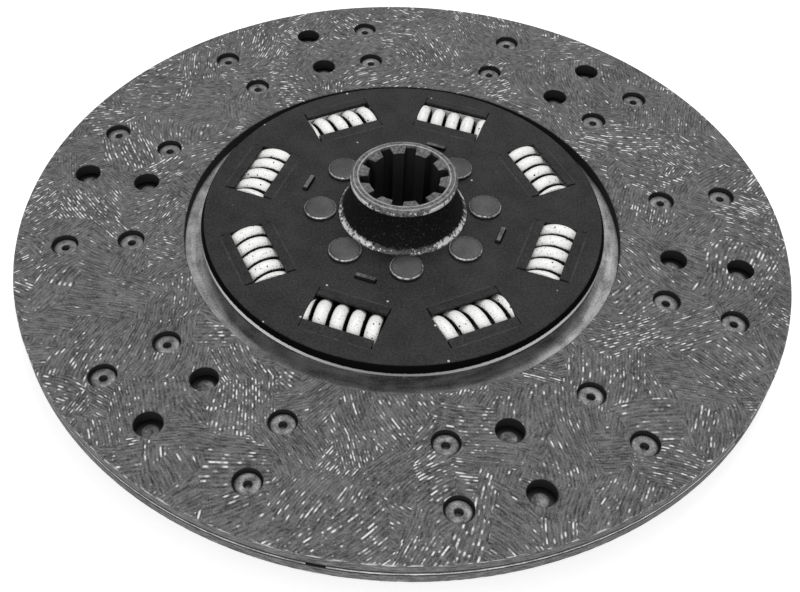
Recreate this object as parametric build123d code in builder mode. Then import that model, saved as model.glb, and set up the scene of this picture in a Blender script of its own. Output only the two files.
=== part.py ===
"""Clutch disc with a splined hub, two cover plates, eight damper springs and a riveted
friction ring. Millimetres, +Z up along the shaft, origin on the axis at the hub's lower end."""

import os
from math import ceil, cos, pi, sin

from build123d import *

# ---- Friction ring -------------------------------------------------------------------
disc_d = 350.0                    # over the facings
facing_bore_gap = 10.0            # from the driven plate's rim out to the facings' bore
facing_thickness = 5.5
cushion_thickness = 1.0           # spring steel sheet between the facings
cushion_free_gap = 0.6            # open height over the sheet while the clutch is released
cushion_rim_inset = 0.5           # sheet's rim lies this far inside the facings' rims
cushion_slot_count = 6
cushion_slot_width = 7.5
cushion_slot_margin = 8.0         # from the facings' bore to the root of each radial slot
first_cushion_slot = 21.7         # degrees

# ---- Facing rivets -------------------------------------------------------------------
rivet_row_spacing = 29.4          # radial, from the inner row to the outer
rivet_row_offset = 1.0            # how far the rows lie outside the middle of the facing
facing_hole_d = 12.0              # counterbore over a head, and clearance hole over a tail
facing_rivet_seat_depth = 3.0     # from the rubbing face to the seat under the head
facing_rivet_head_d = 10.4
facing_rivet_head_height = 1.0
facing_rivet_shank_d = 5.0
facing_rivet_tail_d = 7.2
facing_rivet_tail_height = 0.5
rivet_hole_clearance = 0.05       # radial, round every rivet shank
upper_rivet_angles = 12           # pairs of rivets that hold the upper facing
lower_rivet_angles = 6            # pairs that hold the lower facing
upper_rivet_offset = 12.0         # degrees from a cushion slot to an upper pair
lower_rivet_offset = 30.0         # degrees from a cushion slot to a lower pair
facing_hole_sides = 12
small_rivet_sides = 8
shank_sides = 6

# ---- Damper springs ------------------------------------------------------------------
spring_count = 8
spring_circle_r = 70.3
first_spring = 26.8               # degrees
spring_outer_d = 27.4
spring_wire_d = 6.2
spring_pitch = 7.7
spring_length = 32.8
spring_window_play = 0.1          # at each end of a spring
spring_side_clearance = 0.4       # round the coils
coil_sides = 8                    # straight lengths in one turn
wire_sides = 6

# ---- Cover plates --------------------------------------------------------------------
cover_rim_reach = 22.0            # from the springs' circle to the sheared lower edge
cover_thickness = 5.0
cover_edge_land = 1.0             # height of the sheared band
cover_edge_draw = 1.2             # how far the edge draws in above that band
cover_edge_chamfer = 0.8
window_width = 15.0               # radial opening over each spring
window_slit_width = 1.1           # relief slits at the ends of each window
window_slit_length = 23.4
spring_bulge_height = 1.0         # crown of the pressed arch over each spring
spring_bulge_width = 24.8

# ---- Hub -----------------------------------------------------------------------------
hub_length = 50.0
hub_below = 16.4                  # from the hub's lower end to the disc's middle plane
hub_flange_d = 89.0
hub_flange_thickness = 15.2
hub_collar_rivet_gap = 0.9        # radial, from the collar to the rivet heads round it
hub_collar_above_cover = 0.4
hub_collar_bevel = 1.8            # radial width of the bevel over the collar
hub_rim_d = 48.0
hub_rim_height = 2.6
hub_rim_bevel = 1.4
hub_neck_hollow = 1.1             # how far the neck's side curves in from a straight cone
hub_foot_step = 2.4               # radial, from the collar in to the lower end
collar_clearance = 0.3            # radial, in the bores of the cover plates

# ---- Spline 10 x 32 x 40 -------------------------------------------------------------
spline_slot_count = 10
spline_minor_d = 32.0
spline_major_d = 40.0
spline_slot_width = 5.0
spline_mouth_d = 41.2
spline_mouth_depth = 1.1
first_spline_slot = 10.3          # degrees

# ---- Rivets through the hub flange ---------------------------------------------------
cover_rivet_edge_distance = 6.8   # from a rivet's middle to the flange's rim
cover_rivet_shank_d = 8.0
cover_rivet_head_d = 14.8
cover_rivet_head_height = 2.1
cover_rivet_edge = 0.5            # bevel round each head
cover_rivet_sides = 12
cover_rivet_shank_sides = 6

# ---- Driven plate --------------------------------------------------------------------
driven_plate_thickness = 5.0
driven_bore_clearance = 0.3       # radial, round the hub flange
cushion_rivet_reach = 13.2        # from the springs' circle out to the rivets
cushion_rivet_edge_distance = 6.5 # from a rivet to the plate's rim and to the sheet's bore
cushion_rivet_shank_d = 6.0
cushion_rivet_head_d = 10.0
cushion_rivet_head_height = 1.3

# ---- Friction damper between the driven plate and the covers --------------------------
friction_ring_hub_gap = 2.5       # radial, round the hub flange
friction_ring_spring_gap = 1.1    # radial, inside the damper springs
friction_running_clearance = 0.05
pressure_ring_thickness = 2.0
lug_count = 4
lug_hub_gap = 1.3                 # radial, round the hub flange
lug_thickness = 1.8
lug_length = 9.0
lug_slot_clearance = 0.5
lug_above_cover = 1.6
disc_spring_thickness = 1.5
disc_spring_lug_gap = 0.9         # radial, round the lugs

# ---- Radii that follow -----------------------------------------------------------------
cushion_rivet_circle_r = spring_circle_r + cushion_rivet_reach
driven_plate_r = cushion_rivet_circle_r + cushion_rivet_edge_distance
cushion_bore_r = cushion_rivet_circle_r - cushion_rivet_edge_distance
facing_bore_r = driven_plate_r + facing_bore_gap
rivet_row_middle_r = (disc_d / 2 + facing_bore_r) / 2 + rivet_row_offset
outer_rivet_row_r = rivet_row_middle_r + rivet_row_spacing / 2
inner_rivet_row_r = rivet_row_middle_r - rivet_row_spacing / 2
cover_edge_r = spring_circle_r + cover_rim_reach
hub_flange_r = hub_flange_d / 2
cover_rivet_circle_r = hub_flange_r - cover_rivet_edge_distance
hub_collar_r = cover_rivet_circle_r - cover_rivet_head_d / 2 - hub_collar_rivet_gap
hub_foot_r = hub_collar_r - hub_foot_step
friction_bore_r = hub_flange_r + friction_ring_hub_gap
friction_ring_r = spring_circle_r - spring_outer_d / 2 - friction_ring_spring_gap
lug_inner_r = hub_flange_r + lug_hub_gap
lug_outer_r = lug_inner_r + lug_thickness
lug_circle_r = (lug_inner_r + lug_outer_r) / 2
disc_spring_bore_r = lug_outer_r + disc_spring_lug_gap

# ---- Levels --------------------------------------------------------------------------
middle_z = hub_below
cushion_bottom_z = middle_z - (cushion_thickness + cushion_free_gap) / 2
cushion_top_z = cushion_bottom_z + cushion_thickness
upper_facing_z = cushion_top_z + cushion_free_gap
lower_facing_z = cushion_bottom_z - facing_thickness
cover_inner_z = middle_z + hub_flange_thickness / 2
cover_outer_z = cover_inner_z + cover_thickness
lower_cover_inner_z = middle_z - hub_flange_thickness / 2
driven_bottom_z = cushion_bottom_z - driven_plate_thickness
lower_friction_thickness = driven_bottom_z - lower_cover_inner_z - friction_running_clearance
upper_friction_z = cushion_bottom_z + friction_running_clearance
pressure_ring_z = upper_friction_z + lower_friction_thickness
disc_spring_z = pressure_ring_z + pressure_ring_thickness
middle_plane = Plane.XY.offset(middle_z)

# ---- Places round the axis -----------------------------------------------------------
spring_pitch_angle = 360 / spring_count
between_springs = first_spring + spring_pitch_angle / 2
first_upper_rivet = first_cushion_slot - upper_rivet_offset
first_lower_rivet = first_cushion_slot + lower_rivet_offset
spring_reach = spring_outer_d / 2 + spring_side_clearance
window_length = spring_length + 2 * spring_window_play


def facing_rivet_places(count, start):
    """Where the rivets of one facing stand, on both rows."""
    outer = PolarLocations(outer_rivet_row_r, count, start)
    inner = PolarLocations(inner_rivet_row_r, count, start)
    return list(outer) + list(inner)


cover_rivet_places = list(PolarLocations(cover_rivet_circle_r, spring_count, between_springs))
upper_places = facing_rivet_places(upper_rivet_angles, first_upper_rivet)
lower_places = facing_rivet_places(lower_rivet_angles, first_lower_rivet)


def save(piece, name):
    """Label one finished piece and write its STEP file."""
    piece.part.label = name
    export_step(piece.part, f"parts/{name}.step")


def ring_blank(bottom_z, thickness, outer_r, bore_r):
    """A flat ring, added to the part in hand."""
    with BuildSketch(Plane.XY.offset(bottom_z)) as ring:
        Circle(outer_r)
        Circle(bore_r, mode=Mode.SUBTRACT)
    extrude(ring.sketch, amount=thickness)


def cut_prisms(places, diameter, sides, from_z, height):
    """Holes of a few flat sides at the given places."""
    with BuildSketch(Plane.XY.offset(from_z)) as holes:
        with Locations(*places):
            RegularPolygon(diameter / 2, sides)
    extrude(holes.sketch, amount=height, mode=Mode.SUBTRACT)


def add_prisms(places, diameter, sides, from_z, height):
    """Studs of a few flat sides at the given places."""
    with BuildSketch(Plane.XY.offset(from_z)) as studs:
        with Locations(*places):
            RegularPolygon(diameter / 2, sides)
    extrude(studs.sketch, amount=height)


def cut_spring_windows(from_z, height, width, slit_width=0.0, slit_length=0.0):
    """The openings that hold the springs, with relief slits at their ends if asked."""
    with BuildSketch(Plane.XY.offset(from_z)) as windows:
        with PolarLocations(spring_circle_r, spring_count, first_spring):
            Rectangle(width, window_length)
            if slit_width:
                with GridLocations(0, window_length - slit_width, 1, 2):
                    Rectangle(slit_length, slit_width)
    extrude(windows.sketch, amount=height, mode=Mode.SUBTRACT)


os.makedirs("parts", exist_ok=True)

# ---- Hub: flange, collars, hollow neck and spline ------------------------------------
collar_top_z = cover_outer_z + hub_collar_above_cover
neck_foot_r = hub_collar_r - hub_collar_bevel
neck_foot_z = collar_top_z + hub_collar_bevel
rim_r = hub_rim_d / 2
rim_foot_z = hub_length - hub_rim_bevel - hub_rim_height
lower_collar_z = 2 * middle_z - collar_top_z
bore_blank_r = spline_minor_d / 2

with BuildPart() as hub:
    with BuildSketch(Plane.XZ) as hub_section:
        with BuildLine():
            outline = [
                (bore_blank_r, hub_length),
                (rim_r - hub_rim_bevel, hub_length),
                (rim_r, hub_length - hub_rim_bevel),
                (rim_r, rim_foot_z),
            ]
            Polyline(*outline)
            middle_r = (rim_r + neck_foot_r) / 2 - hub_neck_hollow
            middle_neck_z = (rim_foot_z + neck_foot_z) / 2
            ThreePointArc(outline[-1], (middle_r, middle_neck_z), (neck_foot_r, neck_foot_z))
            Polyline(
                (neck_foot_r, neck_foot_z),
                (hub_collar_r, collar_top_z),
                (hub_collar_r, cover_inner_z),
                (hub_flange_r, cover_inner_z),
                (hub_flange_r, lower_cover_inner_z),
                (hub_collar_r, lower_cover_inner_z),
                (hub_collar_r, lower_collar_z),
                (hub_foot_r, lower_collar_z - hub_foot_step),
                (hub_foot_r, 0),
                (bore_blank_r, 0),
                outline[0],
            )
        make_face()
    revolve(axis=Axis.Z)
    with BuildSketch(Plane.XY) as spline_section:
        with PolarLocations(spline_major_d / 4, spline_slot_count, first_spline_slot):
            Rectangle(spline_major_d / 2, spline_slot_width)
        Circle(spline_major_d / 2, mode=Mode.INTERSECT)
        Circle(spline_minor_d / 2)
    extrude(amount=hub_length, mode=Mode.SUBTRACT)
    for mouth_z, turn in ((hub_length, 0), (0, 180)):
        with Locations((0, 0, mouth_z)):
            Cone(
                bottom_radius=spline_minor_d / 2,
                top_radius=spline_mouth_d / 2,
                height=spline_mouth_depth,
                rotation=(turn, 0, 0),
                align=(Align.CENTER, Align.CENTER, Align.MAX),
                mode=Mode.SUBTRACT,
            )
    cut_prisms(
        cover_rivet_places,
        cover_rivet_shank_d + 2 * rivet_hole_clearance,
        cover_rivet_shank_sides,
        lower_cover_inner_z,
        hub_flange_thickness,
    )
save(hub, "hub")

# ---- Cover plates: pressed arches and windows over the springs ------------------------
cover_bore_r = hub_collar_r + collar_clearance
cover_top_r = cover_edge_r - cover_edge_draw
bulge_half = spring_bulge_width / 2
bulge_r = (bulge_half ** 2 + spring_bulge_height ** 2) / (2 * spring_bulge_height)
bulge_centre_z = cover_outer_z + spring_bulge_height - bulge_r

with BuildPart() as cover_blank:
    with BuildSketch(Plane.XZ) as cover_section:
        Polygon(
            (cover_bore_r, cover_inner_z),
            (cover_edge_r, cover_inner_z),
            (cover_edge_r, cover_inner_z + cover_edge_land),
            (cover_top_r, cover_outer_z - cover_edge_chamfer),
            (cover_top_r - cover_edge_chamfer, cover_outer_z),
            (cover_bore_r, cover_outer_z),
            align=None,
        )
    revolve(axis=Axis.Z)
    for place in PolarLocations(spring_circle_r, spring_count, first_spring):
        across = Plane(place) * Plane.XZ
        with BuildSketch(across):
            with BuildLine():
                ThreePointArc(
                    (-bulge_half, cover_outer_z),
                    (0, cover_outer_z + spring_bulge_height),
                    (bulge_half, cover_outer_z),
                )
                Polyline(
                    (bulge_half, cover_outer_z),
                    (bulge_half, cover_inner_z + cover_edge_land),
                    (-bulge_half, cover_inner_z + cover_edge_land),
                    (-bulge_half, cover_outer_z),
                )
            make_face()
        extrude(amount=window_length / 2, both=True)
    cut_spring_windows(
        cover_inner_z,
        cover_thickness + spring_bulge_height,
        window_width,
        window_slit_width,
        window_slit_length,
    )
    for place in PolarLocations(spring_circle_r, spring_count, first_spring):
        with Locations(place * Pos(0, 0, middle_z)):
            Cylinder(
                radius=spring_reach,
                height=window_length,
                rotation=(90, 0, 0),
                mode=Mode.SUBTRACT,
            )
    cut_prisms(
        cover_rivet_places,
        cover_rivet_shank_d + 2 * rivet_hole_clearance,
        cover_rivet_shank_sides,
        cover_inner_z,
        cover_thickness,
    )

first_lug = first_spring + spring_pitch_angle
with BuildPart() as cover_plate_top:
    add(cover_blank.part)
    with BuildSketch(Plane.XY.offset(cover_inner_z)):
        with PolarLocations(lug_circle_r, lug_count, first_lug):
            Rectangle(lug_thickness + 2 * lug_slot_clearance, lug_length + 2 * lug_slot_clearance)
    extrude(amount=cover_thickness, mode=Mode.SUBTRACT)
save(cover_plate_top, "cover_plate_top")

with BuildPart() as cover_plate_bottom:
    mirror(cover_blank.part, about=middle_plane)
save(cover_plate_bottom, "cover_plate_bottom")

# ---- Rivets through both covers and the hub flange ------------------------------------
lower_cover_outer_z = 2 * middle_z - cover_outer_z
with BuildPart() as cover_rivets:
    add_prisms(
        cover_rivet_places,
        cover_rivet_shank_d,
        cover_rivet_shank_sides,
        lower_cover_outer_z,
        cover_outer_z - lower_cover_outer_z,
    )
    for seat_z, upward in ((cover_outer_z, 1), (lower_cover_outer_z, -1)):
        straight = cover_rivet_head_height - cover_rivet_edge
        with BuildSketch(Plane.XY.offset(seat_z)):
            with Locations(*cover_rivet_places):
                RegularPolygon(cover_rivet_head_d / 2, cover_rivet_sides)
        extrude(amount=upward * straight)
        with BuildSketch(Plane.XY.offset(seat_z + upward * straight)):
            with Locations(*cover_rivet_places):
                RegularPolygon(cover_rivet_head_d / 2, cover_rivet_sides)
        extrude(amount=upward * cover_rivet_edge, taper=45)
save(cover_rivets, "cover_rivets")

# ---- Driven plate, riveted under the cushion sheet -------------------------------------
cushion_rivet_places = list(
    PolarLocations(cushion_rivet_circle_r, spring_count, between_springs)
)
cushion_hole_d = cushion_rivet_shank_d + 2 * rivet_hole_clearance
driven_bore_r = hub_flange_r + driven_bore_clearance
with BuildPart() as driven_plate:
    ring_blank(driven_bottom_z, driven_plate_thickness, driven_plate_r, driven_bore_r)
    cut_spring_windows(driven_bottom_z, driven_plate_thickness, 2 * spring_reach)
    cut_prisms(
        cushion_rivet_places,
        cushion_hole_d,
        shank_sides,
        driven_bottom_z,
        driven_plate_thickness,
    )
save(driven_plate, "driven_plate")

# ---- Cushion sheet: slotted spring steel between the facings ---------------------------
cushion_rim_r = disc_d / 2 - cushion_rim_inset
cushion_slot_length = cushion_rim_r - facing_bore_r - cushion_slot_margin
facing_shank_hole_d = facing_rivet_shank_d + 2 * rivet_hole_clearance
with BuildPart() as cushion_disc:
    ring_blank(cushion_bottom_z, cushion_thickness, cushion_rim_r, cushion_bore_r)
    with BuildSketch(Plane.XY.offset(cushion_bottom_z)):
        with PolarLocations(cushion_rim_r, cushion_slot_count, first_cushion_slot):
            Rectangle(2 * cushion_slot_length, cushion_slot_width)
    extrude(amount=cushion_thickness, mode=Mode.SUBTRACT)
    cut_spring_windows(cushion_bottom_z, cushion_thickness, 2 * spring_reach)
    cut_prisms(
        cushion_rivet_places,
        cushion_hole_d,
        shank_sides,
        cushion_bottom_z,
        cushion_thickness,
    )
    cut_prisms(
        upper_places + lower_places,
        facing_shank_hole_d,
        shank_sides,
        cushion_bottom_z,
        cushion_thickness,
    )
save(cushion_disc, "cushion_disc")

with BuildPart() as cushion_rivets:
    add_prisms(
        cushion_rivet_places,
        cushion_rivet_shank_d,
        shank_sides,
        driven_bottom_z,
        cushion_top_z - driven_bottom_z,
    )
    for seat_z, upward in ((cushion_top_z, 1), (driven_bottom_z, -1)):
        add_prisms(
            cushion_rivet_places,
            cushion_rivet_head_d,
            small_rivet_sides,
            seat_z,
            upward * cushion_rivet_head_height,
        )
save(cushion_rivets, "cushion_rivets")

# ---- Facings, counterbored where they are held and open over the other tails -----------
def facing(bottom_z, rub_z, own_places, other_places):
    """One facing, whose rubbing face is at rub_z."""
    inward = -1 if rub_z > bottom_z else 1
    with BuildPart() as blank:
        ring_blank(bottom_z, facing_thickness, disc_d / 2, facing_bore_r)
        cut_prisms(
            own_places,
            facing_hole_d,
            facing_hole_sides,
            rub_z,
            inward * facing_rivet_seat_depth,
        )
        cut_prisms(own_places, facing_shank_hole_d, shank_sides, bottom_z, facing_thickness)
        cut_prisms(other_places, facing_hole_d, facing_hole_sides, bottom_z, facing_thickness)
    return blank


upper_rub_z = upper_facing_z + facing_thickness
facing_top = facing(upper_facing_z, upper_rub_z, upper_places, lower_places)
save(facing_top, "facing_top")
facing_bottom = facing(lower_facing_z, lower_facing_z, lower_places, upper_places)
save(facing_bottom, "facing_bottom")


def facing_rivets(places, seat_z, tail_z, upward):
    """Rivets with their heads on one facing and their tails spread on the sheet's far side."""
    with BuildPart() as rivets:
        add_prisms(places, facing_rivet_shank_d, shank_sides, seat_z, tail_z - seat_z)
        add_prisms(
            places,
            facing_rivet_head_d,
            small_rivet_sides,
            seat_z,
            upward * facing_rivet_head_height,
        )
        add_prisms(
            places,
            facing_rivet_tail_d,
            shank_sides,
            tail_z,
            -upward * facing_rivet_tail_height,
        )
    return rivets


upper_seat_z = upper_rub_z - facing_rivet_seat_depth
lower_seat_z = lower_facing_z + facing_rivet_seat_depth
save(facing_rivets(upper_places, upper_seat_z, cushion_bottom_z, 1), "facing_rivets_top")
save(facing_rivets(lower_places, lower_seat_z, cushion_top_z, -1), "facing_rivets_bottom")

# ---- Damper springs: right-hand coils with ground ends ----------------------------------
wire_r = spring_wire_d / 2
coil_r = spring_outer_d / 2 - wire_r
rise_per_side = spring_pitch / coil_sides
run_out = wire_r                  # helix length beyond each ground end
half_sides = ceil((spring_length / 2 + run_out) / rise_per_side)
turn_step = 2 * pi / coil_sides
helix = [
    (coil_r * sin(turn_step * step), rise_per_side * step, coil_r * cos(turn_step * step))
    for step in range(-half_sides, half_sides + 1)
]

with BuildPart() as coil:
    with BuildLine() as wire_path:
        Polyline(*helix)
    wire_start = Plane(
        origin=wire_path.line @ 0,
        x_dir=(0, 1, 0),
        z_dir=wire_path.line % 0,
    )
    with BuildSketch(wire_start):
        RegularPolygon(wire_r, wire_sides)
    sweep(transition=Transition.RIGHT)
    Box(2 * spring_outer_d, spring_length, 2 * spring_outer_d, mode=Mode.INTERSECT)

spring_places = PolarLocations(spring_circle_r, spring_count, first_spring)
for number, place in enumerate(spring_places, start=1):
    with BuildPart() as damper_spring:
        with Locations(place * Pos(0, 0, middle_z)):
            add(coil.part)
    save(damper_spring, f"damper_spring_{number}")

# ---- Friction damper --------------------------------------------------------------------
with BuildPart() as friction_ring_bottom:
    ring_blank(
        lower_cover_inner_z,
        lower_friction_thickness,
        friction_ring_r,
        friction_bore_r,
    )
save(friction_ring_bottom, "friction_ring_bottom")

with BuildPart() as friction_ring_top:
    ring_blank(
        upper_friction_z,
        lower_friction_thickness,
        friction_ring_r,
        friction_bore_r,
    )
save(friction_ring_top, "friction_ring_top")

with BuildPart() as pressure_ring:
    ring_blank(pressure_ring_z, pressure_ring_thickness, friction_ring_r, lug_inner_r)
    with BuildSketch(Plane.XY.offset(pressure_ring_z)):
        with PolarLocations(lug_circle_r, lug_count, first_lug):
            Rectangle(lug_thickness, lug_length)
    extrude(amount=cover_outer_z + lug_above_cover - pressure_ring_z)
save(pressure_ring, "pressure_ring")

with BuildPart() as disc_spring:
    with BuildSketch(Plane.XZ):
        Polygon(
            (friction_ring_r, disc_spring_z),
            (friction_ring_r, disc_spring_z + disc_spring_thickness),
            (disc_spring_bore_r, cover_inner_z),
            (disc_spring_bore_r, cover_inner_z - disc_spring_thickness),
            align=None,
        )
    revolve(axis=Axis.Z)
save(disc_spring, "disc_spring")
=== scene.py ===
"""Looks of a clutch disc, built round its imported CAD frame. Blender works in metres, and the
numbers here are millimetres unless they say otherwise."""
from functools import partial
from math import atan, atan2, copysign, cos, degrees, pi, radians, sin, tau

import bmesh
import bpy
from mathutils import Matrix, Vector


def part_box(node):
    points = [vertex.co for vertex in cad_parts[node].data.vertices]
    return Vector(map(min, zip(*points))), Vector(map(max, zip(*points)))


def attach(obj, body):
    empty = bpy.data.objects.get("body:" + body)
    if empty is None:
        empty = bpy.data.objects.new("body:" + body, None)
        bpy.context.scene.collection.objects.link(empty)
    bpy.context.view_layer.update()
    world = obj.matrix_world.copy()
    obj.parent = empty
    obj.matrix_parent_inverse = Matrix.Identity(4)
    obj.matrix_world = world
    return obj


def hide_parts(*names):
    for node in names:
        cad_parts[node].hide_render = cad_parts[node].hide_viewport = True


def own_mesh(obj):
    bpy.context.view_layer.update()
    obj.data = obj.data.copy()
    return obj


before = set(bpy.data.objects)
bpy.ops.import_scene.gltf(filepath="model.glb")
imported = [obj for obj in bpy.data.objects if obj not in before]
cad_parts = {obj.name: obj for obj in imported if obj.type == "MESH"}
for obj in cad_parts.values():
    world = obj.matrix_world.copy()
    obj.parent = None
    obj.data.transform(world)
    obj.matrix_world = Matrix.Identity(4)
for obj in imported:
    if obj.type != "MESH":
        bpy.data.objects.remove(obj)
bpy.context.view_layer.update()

bl_info = {
    "name": "Clutch disc looks",
    "version": (1, 0, 0),
    "blender": (4, 5, 0),
    "location": "View3D > Sidebar > Clutch disc",
    "description": "Dresses the CAD clutch disc with detailed pieces and finishes",
    "category": "Object",
}

MM = 0.001                        # metres
HUB_BODY = "hub_unit"
RING_BODY = "friction_disc"
COVER_HEAD_HEIGHT = 2.1


def low(node):
    """Lowest corner of a CAD node, in millimetres."""
    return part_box(node)[0] / MM


def high(node):
    """Highest corner of a CAD node, in millimetres."""
    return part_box(node)[1] / MM


# Levels and sizes read from the frame, in millimetres
RUB_TOP = high("facing_top").z
BACK_TOP = low("facing_top").z
RUB_BOTTOM = low("facing_bottom").z
BACK_BOTTOM = high("facing_bottom").z
MIDDLE = (RUB_TOP + RUB_BOTTOM) / 2
SHEET_TOP = high("cushion_disc").z
SHEET_BOTTOM = low("cushion_disc").z
DISC_RADIUS = high("facing_top").x
FLANGE_RADIUS = high("hub").x
HUB_TOP = high("hub").z
COVER_INNER = low("cover_plate_top").z
COVER_OUTER = high("cover_rivets").z - COVER_HEAD_HEIGHT
COVER_RADIUS = high("cover_plate_top").x

# Places round the axis, in degrees and millimetres
SPRING_COUNT = 8
SPRING_CIRCLE = 70.3
FIRST_SPRING = 26.8
SPRING_SPACING = 360 / SPRING_COUNT
COVER_RIVET_CIRCLE = 37.7
FACING_BORE_RADIUS = 100.0
OUTER_RIVET_ROW = 153.2
INNER_RIVET_ROW = 123.8
UPPER_PAIRS = 12
FIRST_UPPER_PAIR = 9.7
LOWER_PAIRS = 6
FIRST_LOWER_PAIR = 51.7

# Where the crest of one full coil lies along each spring, in millimetres from its middle
COIL_PLACES = (14.7, 14.6, -13.2, -14.7, -14.7, 12.6, -13.2, 14.9)

# What the damper's coils give up on each flank, in millimetres, so that they clear the
# turning windows
COIL_SIDE_ROOM = 0.5

# Hub section, in millimetres
RIM_RADIUS = 24.0
RIM_BEVEL = 1.4
RIM_HEIGHT = 2.6
NECK_HOLLOW = 1.1
COLLAR_RADIUS = 29.4
COLLAR_BEVEL = 1.8
COLLAR_STEP = 0.4
FOOT_STEP = 2.4
SPLINE_SLOTS = 10
SPLINE_MINOR_RADIUS = 16.0
SPLINE_MAJOR_RADIUS = 20.0
SPLINE_SLOT_WIDTH = 5.0
MOUTH_RADIUS = 20.6
MOUTH_DEPTH = 1.1
FIRST_SLOT = 10.3
TOOTH_BREAK = 0.2
HUB_EDGE_ANGLE = 28               # degrees between faces, from which an edge is rounded
HUB_SEGMENTS = 144
NECK_STEPS = 10

# Where painted highlights gather on the edges of the hub and the covers, in degrees, and how
# many times round the axis that comes back
GLINT_SIDE = 225.0
GLINT_CRESTS = 4

# Facing rivets, as (radius, rise) round their seat and round their upset tail, in millimetres
RIVET_HEAD = (
    (0, -2.6), (1.6, -2.5), (1.8, 0.6), (2.25, 0.95), (3.7, 1.0), (4.7, 0.92),
    (5.15, 0.6), (5.2, 0.2), (4.95, 0), (2.5, 0),
)
RIVET_TAIL = (
    (2.5, 0), (3.4, 0), (3.6, -0.2), (3.3, -0.46), (1.6, -0.5), (0.9, -0.3), (0, -0.3),
)
RIVET_SEGMENTS = 24

# Rounded edge of a cover rivet's head, as (inset from the rim, drop from the top)
COVER_HEAD_EDGE = ((1.6, 0), (0.7, 0.12), (0.2, 0.45), (0, 0.9))
COVER_RIVET_SEGMENTS = 48
MERGE_DISTANCE = 0.0005

# Facings and springs: segments of their circles, and turns that are spun before the ends are cut
RIM_SEGMENTS = 256
BORE_SEGMENTS = 192
HOLE_SEGMENTS = 40
WIRE_SEGMENTS = 16
STEPS_A_TURN = 40
SPUN_TURNS = 10

# Windows of the cover plates, in millimetres
BULGE_HALF_WIDTH = 12.4
SLIT_INNER_EDGE = 15.4
SLIT_CLOSED_BY = 0.55
SLIT_EDGE_REACH = 0.03

# How far the sheet's rim stands inside the facings' rims, in millimetres
SHEET_RIM_INSET = 0.05

# Wound yarn of the facings, in millimetres and radians
PATCH_SIZE = 15.0
YARN_SWAY = 16.0
STRAND_SPACING = 1.4
STRAND_STREAK = 4.0
DASH_SPACING = 3.2
DASH_HALF_WIDTH = 0.2             # of a strand
DASH_SOFTNESS = 0.12              # of a strand
STEEPEST_TURN = 1.15
SHALLOWEST_TURN = 0.35

# What keeps the dashes of strands and patches from lining up, and how rich in them patches are
STRANDS_APART = 5.17
PATCHES_APART = 50.0
RICH_PATCHES = 1.7
FEWEST_DASHES = 0.69
MOST_DASHES = 0.53

# Second tones of the finishes, and of painted shade and highlights, as sRGB hex values
# painted shade in the facings' holes, bore and seam
HOLE_AND_SEAM_SHADE = "1a1a1a"
OILED_BLACK = "080808"
# dust, and the painted highlight along the foot of each arch
DUST_AND_ARCH_HIGHLIGHT = "484848"
PALE_MOTE = "c8c8c8"
# painted shade on the covers' drawn outer wall
RIM_WALL_SHADE = "060606"
# bare sheared steel at the covers' lower edge, with a painted highlight
SHEARED_EDGE_AND_GLINT = "e0e0e0"
SCALE_SPECK = "5c5c5c"
BROACHED_STEEL = "202020"
TURNED_DARK = "1a1a1a"
TURNED_LIGHT = "8c8c8c"
GRIME = "8a8884"
RIVET_DARK = "343434"
SHEET_DARK = "5c5c5c"
# painted shade on the sheet between the facings
SHEET_SHADE_BETWEEN_FACINGS = "141414"
CUT_DARK = "7a7a7a"
CUT_LIGHT = "dadada"
LINER_RESIN = "2c2a28"
LINER_FIBRE = "6a6661"
FLOOR_PAINT = "e8e8e8"

# Stage: sizes in metres, lamps as name, place, side and power in watts
FLOOR_RADIUS = 4.0
FLOOR_SEGMENTS = 64
FLOOR_GLOW = 0.6
WORLD_LIGHT = 0.45
LAMPS = (
    ("key", (0.1, 0.5, 1.2), 0.7, 8.3),
    ("fill", (-0.2, -1.2, 0.6), 0.9, 8.5),
)

# Camera: picture in pixels, distance in metres, angles in degrees
IMAGE_WIDTH = 800
IMAGE_HEIGHT = 592
SENSOR_WIDTH = 36.0
FOCAL_PIXELS = 1050.09
LENS_CENTRE_X = 375.71
LENS_CENTRE_Y = 296.68
CAMERA_DISTANCE = 0.4916
CAMERA_ELEVATION = 44.498
CAMERA_YAW = 1.255
CAMERA_PITCH = -3.753
CAMERA_ROLL = -2.581


# ---- Settings ------------------------------------------------------------------------
def length_setting(name, description, value_mm):
    """A length property whose default is given in millimetres."""
    return bpy.props.FloatProperty(
        name=name, description=description, default=value_mm * MM, unit="LENGTH", precision=5
    )


def colour_setting(name, description, value):
    """A colour property, written as an sRGB hex value."""
    return bpy.props.StringProperty(name=name, description=description, default=value)


class FacingSettings(bpy.types.PropertyGroup):
    """Sizes and colours of the friction facings and their rivets."""

    bore_radius: length_setting("Bore radius", "Inner radius of both facings", FACING_BORE_RADIUS)
    pocket_radius: length_setting("Pocket radius", "Radius of the rivet pockets", 6.0)
    shank_radius: length_setting("Shank hole", "Radius of the holes under the heads", 2.55)
    seat_depth: length_setting("Seat depth", "Depth of the rivet seats", 3.0)
    edge_break: length_setting("Edge break", "Chamfer on rims and pockets", 0.35)
    ground: colour_setting("Ground", "Colour of the moulded composite", "2e2e2e")
    yarn: colour_setting("Yarn", "Colour of the raised yarn", "868686")
    fleck: colour_setting("Wire fleck", "Colour of the cut wire ends", "f4f4f4")
    rivet: colour_setting("Rivet", "Colour of the tubular rivets", "868686")
    sheet: colour_setting("Sheet", "Colour of the sheet between the facings", "b0b0b0")


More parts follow.
